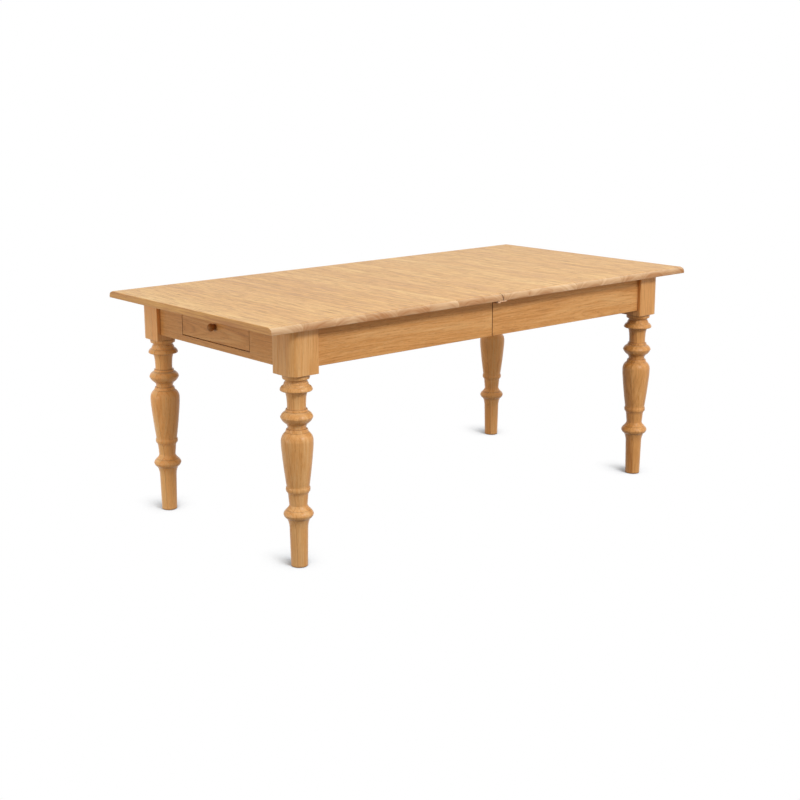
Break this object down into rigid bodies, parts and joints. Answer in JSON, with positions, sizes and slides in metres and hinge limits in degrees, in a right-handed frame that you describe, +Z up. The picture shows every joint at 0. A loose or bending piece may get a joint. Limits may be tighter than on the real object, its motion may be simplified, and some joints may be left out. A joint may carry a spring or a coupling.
{
  "type": "extending dining table",
  "caption": "Centre-opening extending dining table on turned legs: the plain end half slides away on wooden runners, with a drawer in the other end.",
  "frame": {"origin": "on the floor under the middle of the closed table", "axes": "+X along the length towards the plain end, +Y across towards the rear long side, +Z up"},
  "size_m": [1.85, 0.93, 0.77],
  "materials": {
    "oak_top": "satin lacquered oak, boards across the width",
    "oak_leg": "satin lacquered oak, grain upright",
    "oak_side_rail": "satin lacquered oak, grain along the rail",
    "oak_end_rail": "satin lacquered oak, grain along the rail",
    "oak_drawer_front": "satin lacquered oak, crown cut",
    "oak_knob": "satin lacquered turned oak",
    "drawer_wood": "bare planed hardwood",
    "drawer_panel": "bare thin panel",
    "brace_wood": "bare planed hardwood",
    "bearer_wood": "bare planed hardwood",
    "slide_wood": "waxed beech",
    "dowel_wood": "bare beech dowel",
    "button_wood": "bare hardwood",
    "catch_steel": "dull zinc-plated steel",
    "steel_hardware": "zinc-plated steel"
  },
  "bodies": {
    "drawer_end_half": {"bearer_dowels_left": "dowel_wood", "catch_keepers": "catch_steel", "catch_screws_left": "steel_hardware", "corner_brace_front_left": "brace_wood", "corner_brace_rear_left": "brace_wood", "drawer_end_rail": "oak_end_rail", "drawer_kicker_front": "slide_wood", "drawer_kicker_rear": "slide_wood", "drawer_runner_dowels": "dowel_wood", "drawer_runner_front": "slide_wood", "drawer_runner_rear": "slide_wood", "frame_screws_left": "steel_hardware", "half_top_left": "oak_top", "leg_bolts_left": "steel_hardware", "leg_front_left": "oak_leg", "leg_nuts_left": "steel_hardware", "leg_rear_left": "oak_leg", "leg_washers_left": "steel_hardware", "mid_bearer_left": "bearer_wood", "seam_bearer_left": "bearer_wood", "seam_dowels": "dowel_wood", "side_rail_front_left": "oak_side_rail", "side_rail_rear_left": "oak_side_rail", "slide_bar_front_left": "slide_wood", "slide_bar_rear_left": "slide_wood", "slide_screws_left": "steel_hardware", "slide_stop_pins_left": "steel_hardware", "top_buttons_left": "button_wood"},
    "plain_end_half": {"bearer_dowels_right": "dowel_wood", "catch_screws_right": "steel_hardware", "catch_tongues": "catch_steel", "corner_brace_front_right": "brace_wood", "corner_brace_rear_right": "brace_wood", "frame_screws_right": "steel_hardware", "half_top_right": "oak_top", "leg_bolts_right": "steel_hardware", "leg_front_right": "oak_leg", "leg_nuts_right": "steel_hardware", "leg_rear_right": "oak_leg", "leg_washers_right": "steel_hardware", "mid_bearer_right": "bearer_wood", "plain_end_rail": "oak_end_rail", "seam_bearer_right": "bearer_wood", "side_rail_front_right": "oak_side_rail", "side_rail_rear_right": "oak_side_rail", "slide_bar_front_right": "slide_wood", "slide_bar_rear_right": "slide_wood", "slide_screws_right": "steel_hardware", "slide_stop_pins_right": "steel_hardware", "top_buttons_right": "button_wood"},
    "front_runner": {"slide_runner_front": "slide_wood"},
    "rear_runner": {"slide_runner_rear": "slide_wood"},
    "drawer": {"drawer_back": "drawer_wood", "drawer_bottom": "drawer_panel", "drawer_front": "oak_drawer_front", "drawer_knob": "oak_knob", "drawer_knob_screw": "steel_hardware", "drawer_side_front": "drawer_wood", "drawer_side_rear": "drawer_wood"}
  },
  "joints": [
    {"name": "plain_end_slide", "type": "slide", "parent": "drawer_end_half", "child": "plain_end_half", "axis": [1, 0, 0], "range_m": [0, 0.48]},
    {"name": "front_runner_slide", "type": "slide", "parent": "drawer_end_half", "child": "front_runner", "axis": [1, 0, 0], "range_m": [0, 0.24]},
    {"name": "rear_runner_slide", "type": "slide", "parent": "drawer_end_half", "child": "rear_runner", "axis": [1, 0, 0], "range_m": [0, 0.24]},
    {"name": "drawer_slide", "type": "slide", "parent": "drawer_end_half", "child": "drawer", "axis": [-1, 0, 0], "range_m": [0, 0.3]}
  ],
  "couplings": [
    {"joint": "front_runner_slide", "follows": "plain_end_slide", "ratio": 0.5},
    {"joint": "rear_runner_slide", "follows": "plain_end_slide", "ratio": 0.5}
  ]
}
